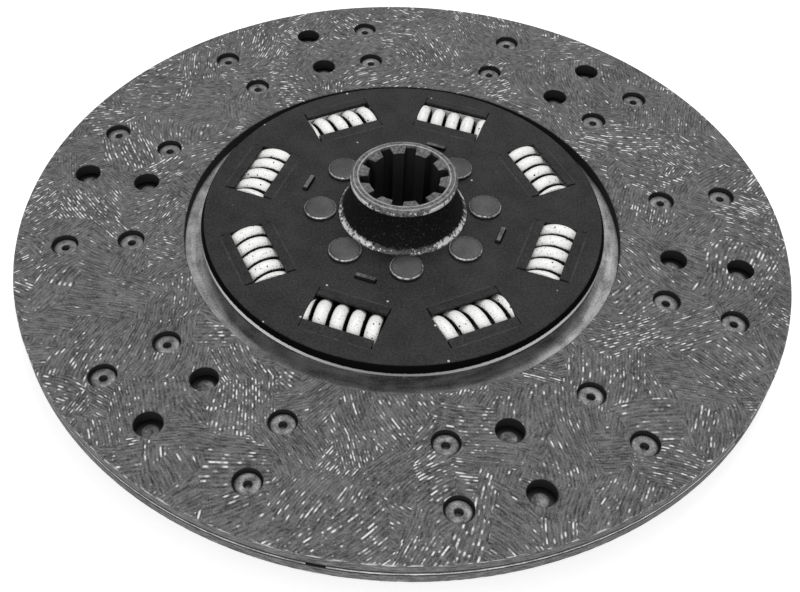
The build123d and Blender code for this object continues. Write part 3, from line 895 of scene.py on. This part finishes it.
def rolled_sheet(settings):
    """Rolled spring steel: mottled grey with fine grain and streaks round the axis, darkened
    with painted shade between the facings, and bright where its rim was cut."""
    material, add = new_material("rolled_spring_steel")
    place, split, radius = round_the_axis(add)
    grain = add(
        "ShaderNodeTexNoise", {"Vector": place, "Scale": 1.2, "Detail": 3.0, "Roughness": 0.7}
    )
    lap = add("ShaderNodeMath", {0: 5.0, 1: radius}, operation="DIVIDE")
    across = add("ShaderNodeMath", {0: split.outputs[0], 1: lap}, operation="MULTIPLY")
    upward = add("ShaderNodeMath", {0: split.outputs[1], 1: lap}, operation="MULTIPLY")
    outward = add("ShaderNodeMath", {0: radius, 1: 0.45}, operation="MULTIPLY")
    rolled = add("ShaderNodeCombineXYZ", {0: across, 1: upward, 2: outward})
    streak = add("ShaderNodeTexNoise", {"Vector": rolled, "Scale": 1.0, "Detail": 4.0})
    patch = add("ShaderNodeTexNoise", {"Vector": place, "Scale": 0.12, "Detail": 4.0})
    mixed = add("ShaderNodeMath", {0: patch, 1: 0.9, 2: grain}, operation="MULTIPLY_ADD")
    mixed = add("ShaderNodeMath", {0: streak, 1: 0.9, 2: mixed}, operation="MULTIPLY_ADD")
    shade, rim = (
        add("ShaderNodeMapRange", {"Value": value, "From Min": none, "From Max": full})
        for value, none, full in (
            (mixed, 1.12, 1.68), (radius, DISC_RADIUS - 0.3, DISC_RADIUS - 0.2)
        )
    )
    # Painted shade on the sheet between the facings, which shows only through their holes
    shaded_in_holes = between(add, radius, FACING_BORE_RADIUS + 1, DISC_RADIUS - 1.5, 0.5)
    cut_ends = laid_over(add, CUT_DARK, (shade, CUT_LIGHT))
    colour = laid_over(
        add, SHEET_DARK, (shade, settings.sheet), (shaded_in_holes, SHEET_SHADE_BETWEEN_FACINGS), (rim, cut_ends)
    )
    metal = add("ShaderNodeMapRange", {"Value": rim, "To Min": 0.45, "To Max": 0.9})
    looks = {"Base Color": colour, "Metallic": metal, "Roughness": 0.5}
    return finished(material, add, looks, grain, 0.2)


def pressed_liner():
    """Pressed friction liner of the damper: dull dark resin with pale fibre specks."""
    material, add = new_material("pressed_liner_composite")
    place = in_millimetres(add)
    fibre = add(
        "ShaderNodeTexNoise", {"Vector": place, "Scale": 0.9, "Detail": 4.0, "Roughness": 0.7}
    )
    colour = laid_over(add, LINER_RESIN, (fibre, LINER_FIBRE))
    looks = {"Base Color": colour, "Roughness": 0.85}
    return finished(material, add, looks, fibre, 0.2)


def reaches_the_eye(add):
    """1 for what the eye sees, straight, in a gloss or through glass."""
    rays = add("ShaderNodeLightPath").outputs
    kinds = [rays[f"Is {kind} Ray"] for kind in ("Camera", "Glossy", "Transmission")]
    return joined(add, "MAXIMUM", *kinds)


# ---- Operators -----------------------------------------------------------------------
class StageOperator(bpy.types.Operator):
    """Add the floor, the lights and the camera"""

    bl_idname = "clutch.stage"
    bl_label = "Stage"

    def execute(self, context):
        scene = context.scene
        scene.view_settings.view_transform = "Standard"
        self.add_floor(scene)
        self.light_world(scene)
        for name, place, side, power in LAMPS:
            self.add_lamp(scene, name, Vector(place), side, power)
        self.add_camera(scene)
        return {"FINISHED"}

    def add_floor(self, scene):
        """A wide pale floor, white to the eye and shaded by the object."""
        bm = bmesh.new()
        bmesh.ops.create_circle(
            bm, cap_ends=True, radius=FLOOR_RADIUS, segments=FLOOR_SEGMENTS
        )
        mesh = bpy.data.meshes.new("floor")
        bm.to_mesh(mesh)
        bm.free()
        material, add = new_material("white_studio_floor")
        glow = add(
            "ShaderNodeMath", {0: reaches_the_eye(add), 1: FLOOR_GLOW}, operation="MULTIPLY"
        )
        light = add("ShaderNodeEmission", {"Strength": glow})
        paint = add("ShaderNodeBsdfDiffuse", {"Color": linear(FLOOR_PAINT)})
        both = add("ShaderNodeAddShader", {0: light, 1: paint})
        add("ShaderNodeOutputMaterial", {"Surface": both})
        mesh.materials.append(material)
        floor = bpy.data.objects.new("floor", mesh)
        scene.collection.objects.link(floor)

    def light_world(self, scene):
        """Even light, with a white surround for what looks at it or mirrors it."""
        world = bpy.data.worlds.new("even_studio")
        world.use_nodes = True
        world.node_tree.nodes.clear()
        add = partial(add_node, world.node_tree)
        strength = add(
            "ShaderNodeMapRange",
            {"Value": reaches_the_eye(add), "To Min": WORLD_LIGHT, "To Max": 1.0},
        )
        surround = add("ShaderNodeBackground", {"Strength": strength})
        add("ShaderNodeOutputWorld", {"Surface": surround})
        scene.world = world

    def add_lamp(self, scene, name, place, side, power):
        """A square soft lamp that faces the foot of the disc's axis."""
        lamp = bpy.data.lights.new(name, "AREA")
        lamp.size = side
        lamp.energy = power
        holder = bpy.data.objects.new(name, lamp)
        facing = (-place).to_track_quat("-Z", "Y").to_matrix().to_4x4()
        holder.matrix_world = Matrix.Translation(place) @ facing
        scene.collection.objects.link(holder)

    def add_camera(self, scene):
        """The camera, turned a little off the disc's middle as it was held."""
        height = radians(CAMERA_ELEVATION)
        offset = Vector((0, -cos(height), sin(height))) * CAMERA_DISTANCE
        forward = -offset.normalized()
        right = Vector((1, 0, 0))
        up = right.cross(forward)
        yaw = Matrix.Rotation(radians(CAMERA_YAW), 3, up)
        forward, right = yaw @ forward, yaw @ right
        pitch = Matrix.Rotation(radians(CAMERA_PITCH), 3, right)
        forward, up = pitch @ forward, pitch @ up
        roll = Matrix.Rotation(radians(CAMERA_ROLL), 3, forward)
        right, up = roll @ right, roll @ up
        lens = bpy.data.cameras.new("camera")
        lens.sensor_width = SENSOR_WIDTH
        lens.lens = SENSOR_WIDTH * FOCAL_PIXELS / IMAGE_WIDTH
        lens.shift_x = (IMAGE_WIDTH / 2 - LENS_CENTRE_X) / IMAGE_WIDTH
        lens.shift_y = (LENS_CENTRE_Y - IMAGE_HEIGHT / 2) / IMAGE_WIDTH
        lens.clip_start = 0.01
        camera = bpy.data.objects.new("camera", lens)
        turn = Matrix((right, up, -forward)).transposed().to_4x4()
        camera.matrix_world = Matrix.Translation(offset + Vector((0, 0, MIDDLE * MM))) @ turn
        scene.collection.objects.link(camera)
        scene.camera = camera


class FacingsOperator(bpy.types.Operator):
    """Build both friction facings with their counterbored and clearance holes"""

    bl_idname = "clutch.facings"
    bl_label = "Friction facings"

    def execute(self, context):
        settings = context.scene.clutch_facings
        material = friction_composite(settings)
        upper = pair_places(UPPER_PAIRS, FIRST_UPPER_PAIR)
        lower = pair_places(LOWER_PAIRS, FIRST_LOWER_PAIR)
        self.build("facing_top", settings, material, RUB_TOP, BACK_TOP, upper, lower)
        self.build("facing_bottom", settings, material, RUB_BOTTOM, BACK_BOTTOM, lower, upper)
        return {"FINISHED"}

    def build(self, node, settings, material, rub, back, own, other):
        """One facing: its loops are filled at the rubbing face, stepped down and filled again."""
        inward = 1 if back > rub else -1
        chamfer = settings.edge_break / MM
        pocket = settings.pocket_radius / MM
        shank = settings.shank_radius / MM
        bore = settings.bore_radius / MM
        below = rub + inward * chamfer
        above = back - inward * chamfer
        seat = rub + inward * settings.seat_depth / MM
        middle = Vector((0, 0, rub))
        rim_steps = [(DISC_RADIUS, below), (DISC_RADIUS, back)]
        bore_steps = [(bore, below), (bore, above), (bore + chamfer, back)]
        own_steps = [(pocket, below), (pocket, seat), (shank, seat), (shank, back)]
        other_steps = [(pocket, below), (pocket, back)]
        loops = [
            (DISC_RADIUS - chamfer, middle, RIM_SEGMENTS, rim_steps),
            (bore + chamfer, middle, BORE_SEGMENTS, bore_steps),
        ]
        for places, steps in ((own, own_steps), (other, other_steps)):
            loops += [(pocket + chamfer, place + middle, HOLE_SEGMENTS, steps) for place in places]

        bm = bmesh.new()
        starts = [ring_of_edges(bm, radius, centre, count) for radius, centre, count, _ in loops]
        front = [edge for start in starts for edge in start]
        bmesh.ops.triangle_fill(bm, edges=front, use_beauty=True, normal=(0, 0, 1))
        last = []
        for start, (radius, centre, _, steps) in zip(starts, loops):
            last += step_loop(bm, start, centre, radius, steps)
        bmesh.ops.triangle_fill(bm, edges=last, use_beauty=True, normal=(0, 0, 1))
        new_piece(
            bm, f"dressed_{node}", RING_BODY, material, [node], smooth=30
        )


class FacingRivetsOperator(bpy.types.Operator):
    """Build the tubular rivets that hold the facings"""

    bl_idname = "clutch.facing_rivets"
    bl_label = "Facing rivets"

    def execute(self, context):
        settings = context.scene.clutch_facings
        # The bottom rivets get a darker copy of the rivet steel as painted shade, since their
        # tails sit deep in the top facing's holes
        unshaded_rivet_steel = bare_metal("dull_tubular_rivet_steel", settings.rivet, "525252", 0.5, 0.8, 4.0)
        shaded_in_holes = bare_metal("hole_shaded_tubular_rivet_steel", "7c7c7c", "424242", 0.55, 1.2, 4.0)
        depth = settings.seat_depth / MM
        for node, material, seat, tail, places in (
            (
                "facing_rivets_top", unshaded_rivet_steel, RUB_TOP - depth, SHEET_BOTTOM,
                pair_places(UPPER_PAIRS, FIRST_UPPER_PAIR),
            ),
            (
                "facing_rivets_bottom", shaded_in_holes, RUB_BOTTOM + depth, SHEET_TOP,
                pair_places(LOWER_PAIRS, FIRST_LOWER_PAIR),
            ),
        ):
            headward = 1 if seat > tail else -1
            profile = [
                (radius, level + headward * rise)
                for level, section in ((seat, RIVET_HEAD), (tail, RIVET_TAIL))
                for radius, rise in section
            ]
            bm = bmesh.new()
            for place in places:
                lathe(bm, profile, place, RIVET_SEGMENTS)
            bmesh.ops.remove_doubles(bm, verts=bm.verts, dist=MERGE_DISTANCE)
            new_piece(bm, f"dressed_{node}", RING_BODY, material, [node])
        return {"FINISHED"}


class SpringsOperator(bpy.types.Operator):
    """Build the eight damper springs with ground ends"""

    bl_idname = "clutch.springs"
    bl_label = "Damper springs"

    def execute(self, context):
        settings = context.scene.clutch_springs
        material = spring_paint(settings)
        wire = settings.wire_radius / MM
        coil = settings.outer_radius / MM - wire
        pitch = settings.pitch / MM
        half = settings.length / MM / 2
        lead = atan(pitch / (tau * coil))
        steps = SPUN_TURNS * STEPS_A_TURN
        slimmer = 1 - COIL_SIDE_ROOM / (settings.outer_radius / MM)
        for number, crest in enumerate(COIL_PLACES, start=1):
            first = crest - pitch * SPUN_TURNS / 2
            bm = bmesh.new()
            section = (
                Matrix.Translation((0, first, coil))
                @ Matrix.Rotation(lead, 4, "Z")
                @ Matrix.Rotation(pi / 2, 4, "Y")
            )
            ring = bmesh.ops.create_circle(
                bm, cap_ends=True, radius=wire, segments=WIRE_SEGMENTS, matrix=section
            )["verts"]
            faces = list({face for vert in ring for face in vert.link_faces})
            bmesh.ops.spin(
                bm, geom=ring + list(bm.edges) + faces, cent=(0, 0, 0), axis=(0, 1, 0),
                dvec=(0, pitch * SPUN_TURNS / steps, 0), angle=tau * SPUN_TURNS, steps=steps,
            )
            for side in (-1, 1):
                cut = bmesh.ops.bisect_plane(
                    bm, geom=list(bm.verts) + list(bm.edges) + list(bm.faces), dist=0.0001,
                    plane_co=(0, side * half, 0), plane_no=(0, side, 0), clear_outer=True,
                )["geom_cut"]
                rim = [item for item in cut if isinstance(item, bmesh.types.BMEdge)]
                bmesh.ops.holes_fill(bm, edges=rim, sides=0)
            bmesh.ops.scale(bm, vec=(slimmer, 1, 1), verts=bm.verts)
            place = Matrix.Rotation(radians(FIRST_SPRING + SPRING_SPACING * (number - 1)), 4, "Z")
            place = place @ Matrix.Translation((SPRING_CIRCLE, 0, MIDDLE))
            bmesh.ops.transform(bm, matrix=place, verts=bm.verts)
            bmesh.ops.recalc_face_normals(bm, faces=bm.faces)
            bm.normal_update()
            # Painted shade: how far each vertex faces up, which the paint reads to darken the
            # wire's sides
            light_from_above = bm.verts.layers.float.new("light_from_above")
            for vert in bm.verts:
                vert[light_from_above] = vert.normal.z
            node = f"damper_spring_{number}"
            piece = new_piece(
                bm, f"dressed_{node}", HUB_BODY, material, [node]
            )
            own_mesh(piece)
        return {"FINISHED"}


class HubOperator(bpy.types.Operator):
    """Build the forged hub with its splined bore"""

    bl_idname = "clutch.hub"
    bl_label = "Hub"

    def execute(self, context):
        settings = context.scene.clutch_hub
        cover_under = 2 * MIDDLE - COVER_INNER
        collar_top = COVER_OUTER + COLLAR_STEP
        collar_under = 2 * MIDDLE - collar_top
        foot = COLLAR_RADIUS - FOOT_STEP
        neck_top = (RIM_RADIUS, HUB_TOP - RIM_BEVEL - RIM_HEIGHT)
        neck_foot = (COLLAR_RADIUS - COLLAR_BEVEL, collar_top + COLLAR_BEVEL)
        waist = (
            (neck_top[0] + neck_foot[0]) / 2 - NECK_HOLLOW, (neck_top[1] + neck_foot[1]) / 2
        )
        profile = [
            (MOUTH_RADIUS, HUB_TOP), (RIM_RADIUS - RIM_BEVEL, HUB_TOP),
            (RIM_RADIUS, HUB_TOP - RIM_BEVEL), neck_top,
            *arc_through(neck_top, waist, neck_foot, NECK_STEPS), neck_foot,
            (COLLAR_RADIUS, collar_top), (COLLAR_RADIUS, COVER_INNER),
            (FLANGE_RADIUS, COVER_INNER), (FLANGE_RADIUS, cover_under),
            (COLLAR_RADIUS, cover_under), (COLLAR_RADIUS, collar_under),
            (foot, collar_under - FOOT_STEP), (foot, 0), (MOUTH_RADIUS, 0),
        ]
        bm = bmesh.new()
        lathe(bm, profile, Vector((0, 0, 0)), HUB_SEGMENTS)
        round_sharp_edges(bm, settings.edge_round / MM, HUB_EDGE_ANGLE)
        self.cut_spline(bm)
        new_piece(
            bm, "dressed_hub", HUB_BODY, forged_steel(settings), ["hub"], smooth=35
        )
        return {"FINISHED"}

    def cut_spline(self, bm):
        """Add the splined bore between the two mouths of the turned body."""
        mouths = [edge for edge in bm.edges if len(edge.link_faces) == 1]
        slope = MOUTH_DEPTH / (MOUTH_RADIUS - SPLINE_MINOR_RADIUS)
        loops = []
        for grow, upper in ((TOOTH_BREAK, True), (0, True), (0, False), (TOOTH_BREAK, False)):
            verts = []
            for point in spline_outline(grow):
                depth = slope * (MOUTH_RADIUS - point.length) + TOOTH_BREAK - grow
                point.z = HUB_TOP - depth if upper else depth
                verts.append(bm.verts.new(point))
            loops.append([bm.edges.new(pair) for pair in zip(verts, verts[1:] + verts[:1])])
        for loop, next_loop in zip(loops, loops[1:]):
            bmesh.ops.bridge_loops(bm, edges=loop + next_loop)
        for loop, level in ((loops[0], HUB_TOP), (loops[-1], 0)):
            rim = [edge for edge in mouths if abs(edge.verts[0].co.z - level) < 0.01]
            bmesh.ops.triangle_fill(bm, edges=rim + loop, use_beauty=True, normal=(0, 0, 1))


class CoversOperator(bpy.types.Operator):
    """Dress both cover plates, with the slits of their windows narrowed"""

    bl_idname = "clutch.covers"
    bl_label = "Cover plates"

    def execute(self, context):
        settings = context.scene.clutch_hub
        material = blacked_sheet(settings)
        for node in ("cover_plate_top", "cover_plate_bottom"):
            bm = copied_mesh(node)
            for vert in bm.verts:
                turned = degrees(atan2(vert.co.y, vert.co.x)) - FIRST_SPRING
                window = FIRST_SPRING + SPRING_SPACING * round(turned / SPRING_SPACING)
                across = Matrix.Rotation(radians(window), 3, "Z")
                spot = across.transposed() @ vert.co
                near = abs(spot.x - SPRING_CIRCLE) < BULGE_HALF_WIDTH
                if near and abs(abs(spot.y) - SLIT_INNER_EDGE) < SLIT_EDGE_REACH:
                    spot.y += copysign(SLIT_CLOSED_BY, spot.y)
                    vert.co = across @ spot
            new_piece(
                bm, f"dressed_{node}", HUB_BODY, material, [node], smooth=30
            )
        return {"FINISHED"}


class CoverRivetsOperator(bpy.types.Operator):
    """Build the rivets through the covers and the hub flange"""

    bl_idname = "clutch.cover_rivets"
    bl_label = "Cover rivets"

    def execute(self, context):
        settings = context.scene.clutch_hub
        head = settings.head_radius / MM
        rise = settings.head_height / MM
        shank = settings.shank_radius / MM
        half = COVER_OUTER - MIDDLE
        upper = [(0, half + rise)]
        upper += [(head - inset, half + rise - drop) for inset, drop in COVER_HEAD_EDGE]
        upper += [(head, half + 0.3), (head - 0.2, half), (shank, half)]
        profile = [(radius, MIDDLE + z) for radius, z in upper]
        profile += [(radius, MIDDLE - z) for radius, z in reversed(upper)]
        bm = bmesh.new()
        first = FIRST_SPRING + SPRING_SPACING / 2
        for number in range(SPRING_COUNT):
            place = polar(COVER_RIVET_CIRCLE, first + SPRING_SPACING * number)
            lathe(bm, profile, place, COVER_RIVET_SEGMENTS)
        bmesh.ops.remove_doubles(bm, verts=bm.verts, dist=MERGE_DISTANCE)
        new_piece(
            bm, "dressed_cover_rivets", HUB_BODY, rivet_steel(settings),
            ["cover_rivets"],
        )
        return {"FINISHED"}


class InnerPartsOperator(bpy.types.Operator):
    """Dress the cushion sheet, and give the CAD's own plates, rings and rivets their finishes"""

    bl_idname = "clutch.inner_parts"
    bl_label = "Inner parts"

    def execute(self, context):
        sheet = rolled_sheet(context.scene.clutch_facings)
        bm = copied_mesh("cushion_disc")
        for vert in bm.verts:
            if vert.co.xy.length > DISC_RADIUS - 1:
                vert.co.xy = vert.co.xy.normalized() * (DISC_RADIUS - SHEET_RIM_INSET)
        new_piece(bm, "dressed_cushion_disc", RING_BODY, sheet, ["cushion_disc"])
        plain = bare_metal("oiled_plate_steel", "5e5e5e", "363636", 0.42, 1.5, 12.0)
        liner = pressed_liner()
        for material, nodes in (
            (sheet, ("cushion_rivets",)),
            (plain, ("driven_plate", "pressure_ring", "disc_spring")),
            (liner, ("friction_ring_top", "friction_ring_bottom")),
        ):
            for node in nodes:
                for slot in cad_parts[node].material_slots:
                    slot.material = material
        return {"FINISHED"}


class ClutchPanel(bpy.types.Panel):
    """Clutch disc pieces and their settings"""

    bl_idname = "VIEW3D_PT_clutch"
    bl_label = "Clutch disc"
    bl_space_type = "VIEW_3D"
    bl_region_type = "UI"
    bl_category = "Clutch disc"

    def draw(self, context):
        for operator in OPERATORS:
            self.layout.operator(operator.bl_idname)
        for group in ("clutch_facings", "clutch_springs", "clutch_hub"):
            settings = getattr(context.scene, group)
            box = self.layout.box()
            for name in settings.bl_rna.properties.keys():
                if name not in ("rna_type", "name"):
                    box.prop(settings, name)


GROUPS = {
    "clutch_facings": FacingSettings,
    "clutch_springs": SpringSettings,
    "clutch_hub": HubSettings,
}
OPERATORS = (
    StageOperator, FacingsOperator, FacingRivetsOperator, SpringsOperator, HubOperator,
    CoversOperator, CoverRivetsOperator, InnerPartsOperator,
)


def register():
    """Register the settings, the operators and the panel."""
    for group in GROUPS.values():
        bpy.utils.register_class(group)
    for name, group in GROUPS.items():
        setattr(bpy.types.Scene, name, bpy.props.PointerProperty(type=group))
    for operator in OPERATORS:
        bpy.utils.register_class(operator)
    bpy.utils.register_class(ClutchPanel)


def unregister():
    """Take the panel, the operators and the settings away again."""
    bpy.utils.unregister_class(ClutchPanel)
    for operator in reversed(OPERATORS):
        bpy.utils.unregister_class(operator)
    for name in GROUPS:
        delattr(bpy.types.Scene, name)
    for group in reversed(GROUPS.values()):
        bpy.utils.unregister_class(group)


def main():
    """Build every piece in order."""
    register()
    bpy.ops.clutch.stage()
    bpy.ops.clutch.facings()
    bpy.ops.clutch.facing_rivets()
    bpy.ops.clutch.springs()
    bpy.ops.clutch.hub()
    bpy.ops.clutch.covers()
    bpy.ops.clutch.cover_rivets()
    bpy.ops.clutch.inner_parts()


if __name__ == "__main__":
    main()
